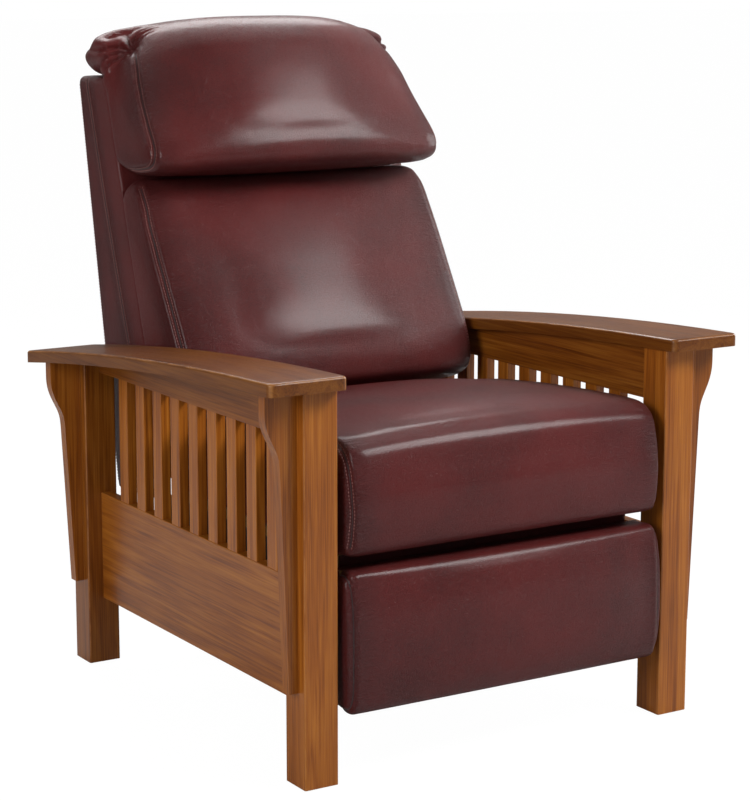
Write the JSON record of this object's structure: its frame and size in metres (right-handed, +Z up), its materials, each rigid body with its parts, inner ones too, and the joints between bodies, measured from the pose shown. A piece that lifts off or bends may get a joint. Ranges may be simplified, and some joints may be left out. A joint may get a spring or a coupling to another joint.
{
  "type": "reclining armchair",
  "caption": "Mission-style push-back recliner with slatted oak arms, bowed arm tops, corbels, leather seat, lumbar and wrapped headrest cushions, and a folding footrest",
  "frame": {"origin": "On the floor, midway between the sides and midway from the arms' front ends to their rear ends nearly; bottom centre of the bounding box", "axes": "+X to the sitter's left, -Y the way the chair faces, +Z up"},
  "size_m": [0.85, 0.9323, 1.1056],
  "materials": {
    "oak": "satin medium-brown stain",
    "frame_wood": "plain sawn",
    "glide": "matt",
    "link_steel": "black satin paint",
    "pin_steel": "zinc plated",
    "screw_steel": "zinc plated",
    "spring_steel": "oiled wire",
    "felt": "needled felt",
    "webbing": "woven elastic",
    "leather": "glossy pebbled oxblood"
  },
  "bodies": {
    "base": {"front_post_left": "oak", "front_post_right": "oak", "rear_post_left": "oak", "rear_post_right": "oak", "arm_top_left": "oak", "arm_top_right": "oak", "top_rail_left": "oak", "top_rail_right": "oak", "side_panel_left": "oak", "side_panel_right": "oak", "slats_left": "oak", "slats_right": "oak", "front_corbel_left": "oak", "front_corbel_right": "oak", "rear_corbel_left": "oak", "rear_corbel_right": "oak", "front_cross_rail": "frame_wood", "rear_cross_rail": "frame_wood", "glue_blocks": "frame_wood", "foot_glides": "glide", "mechanism_cleats": "frame_wood", "base_plates": "link_steel", "base_screws": "screw_steel", "base_pivot_pins": "pin_steel"},
    "front_lift": {"front_lift_links": "link_steel"},
    "rear_lift": {"rear_lift_links": "link_steel"},
    "drag": {"drag_links": "link_steel"},
    "seat": {"seat_side_rails": "frame_wood", "seat_front_rail": "frame_wood", "seat_rear_rail": "frame_wood", "seat_plates": "link_steel", "seat_screws": "screw_steel", "seat_pivot_pins": "pin_steel", "seat_springs": "spring_steel", "spring_clips": "spring_steel", "seat_pad": "felt", "seat_cushion": "leather"},
    "back": {"back_stiles": "frame_wood", "back_rails": "frame_wood", "back_webbing": "webbing", "back_brackets": "link_steel", "back_bolts": "screw_steel", "back_bracket_pins": "pin_steel", "back_sides": "leather", "back_panel": "leather", "lumbar_cushion": "leather", "headrest_cushion": "leather"},
    "footrest_drive": {"footrest_drive_links": "link_steel", "footrest_torque_tube": "link_steel", "footrest_drive_pins": "pin_steel"},
    "footrest_cross": {"footrest_cross_links": "link_steel", "footrest_cross_pins": "pin_steel"},
    "footrest_swing": {"footrest_swing_links": "link_steel"},
    "footrest_connecting": {"footrest_connecting_links": "link_steel"},
    "footrest": {"footrest_board": "frame_wood", "footrest_brackets": "link_steel", "footrest_bracket_pins": "pin_steel", "footrest_screws": "screw_steel", "footrest_pad": "leather"}
  },
  "joints": [
    {"name": "rear_lift_turn", "type": "hinge", "parent": "base", "child": "rear_lift", "pos_m": [0, 0.081, 0.195], "axis": [1, 0, 0], "range_deg": [0, 36]},
    {"name": "front_lift_turn", "type": "hinge", "parent": "base", "child": "front_lift", "pos_m": [0, -0.234, 0.195], "axis": [1, 0, 0], "range_deg": [0, 36]},
    {"name": "seat_glide", "type": "hinge", "parent": "rear_lift", "child": "seat", "pos_m": [0, 0.11036, 0.28535], "axis": [1, 0, 0], "range_deg": [-36, 0]},
    {"name": "back_recline", "type": "hinge", "parent": "seat", "child": "back", "pos_m": [0, 0.229, 0.352], "axis": [-1, 0, 0], "range_deg": [0, 30]},
    {"name": "drag_link_turn", "type": "hinge", "parent": "base", "child": "drag", "pos_m": [0, 0.11707, 0.19957], "axis": [1, 0, 0], "range_deg": [0, 25.32]},
    {"name": "footrest_open", "type": "hinge", "parent": "seat", "child": "footrest_drive", "pos_m": [0, -0.281, 0.268], "axis": [-1, 0, 0], "range_deg": [0, 90]},
    {"name": "footrest_cross_turn", "type": "hinge", "parent": "footrest_drive", "child": "footrest_cross", "pos_m": [0, -0.22975, 0.15289], "axis": [-1, 0, 0], "range_deg": [-99.7, 0]},
    {"name": "footrest_swing_turn", "type": "hinge", "parent": "seat", "child": "footrest_swing", "pos_m": [0, -0.2326, 0.255], "axis": [-1, 0, 0], "range_deg": [0, 79.15]},
    {"name": "footrest_connecting_turn", "type": "hinge", "parent": "footrest_drive", "child": "footrest_connecting", "pos_m": [0, -0.21267, 0.11452], "axis": [-1, 0, 0], "range_deg": [-99.8, 0]},
    {"name": "footrest_tilt", "type": "hinge", "parent": "footrest_cross", "child": "footrest", "pos_m": [0, -0.37315, 0.27754], "axis": [-1, 0, 0], "range_deg": [0, 95.7]}
  ],
  "couplings": [
    {"joint": "rear_lift_turn", "follows": "back_recline", "ratio": 1.2},
    {"joint": "front_lift_turn", "follows": "back_recline", "ratio": 1.2},
    {"joint": "seat_glide", "follows": "back_recline", "ratio": -1.2},
    {"joint": "drag_link_turn", "follows": "back_recline", "ratio": 0.84397},
    {"joint": "footrest_cross_turn", "follows": "footrest_open", "ratio": -1.1077},
    {"joint": "footrest_swing_turn", "follows": "footrest_open", "ratio": 0.87941},
    {"joint": "footrest_connecting_turn", "follows": "footrest_open", "ratio": -1.1088},
    {"joint": "footrest_tilt", "follows": "footrest_open", "ratio": 1.0633}
  ]
}
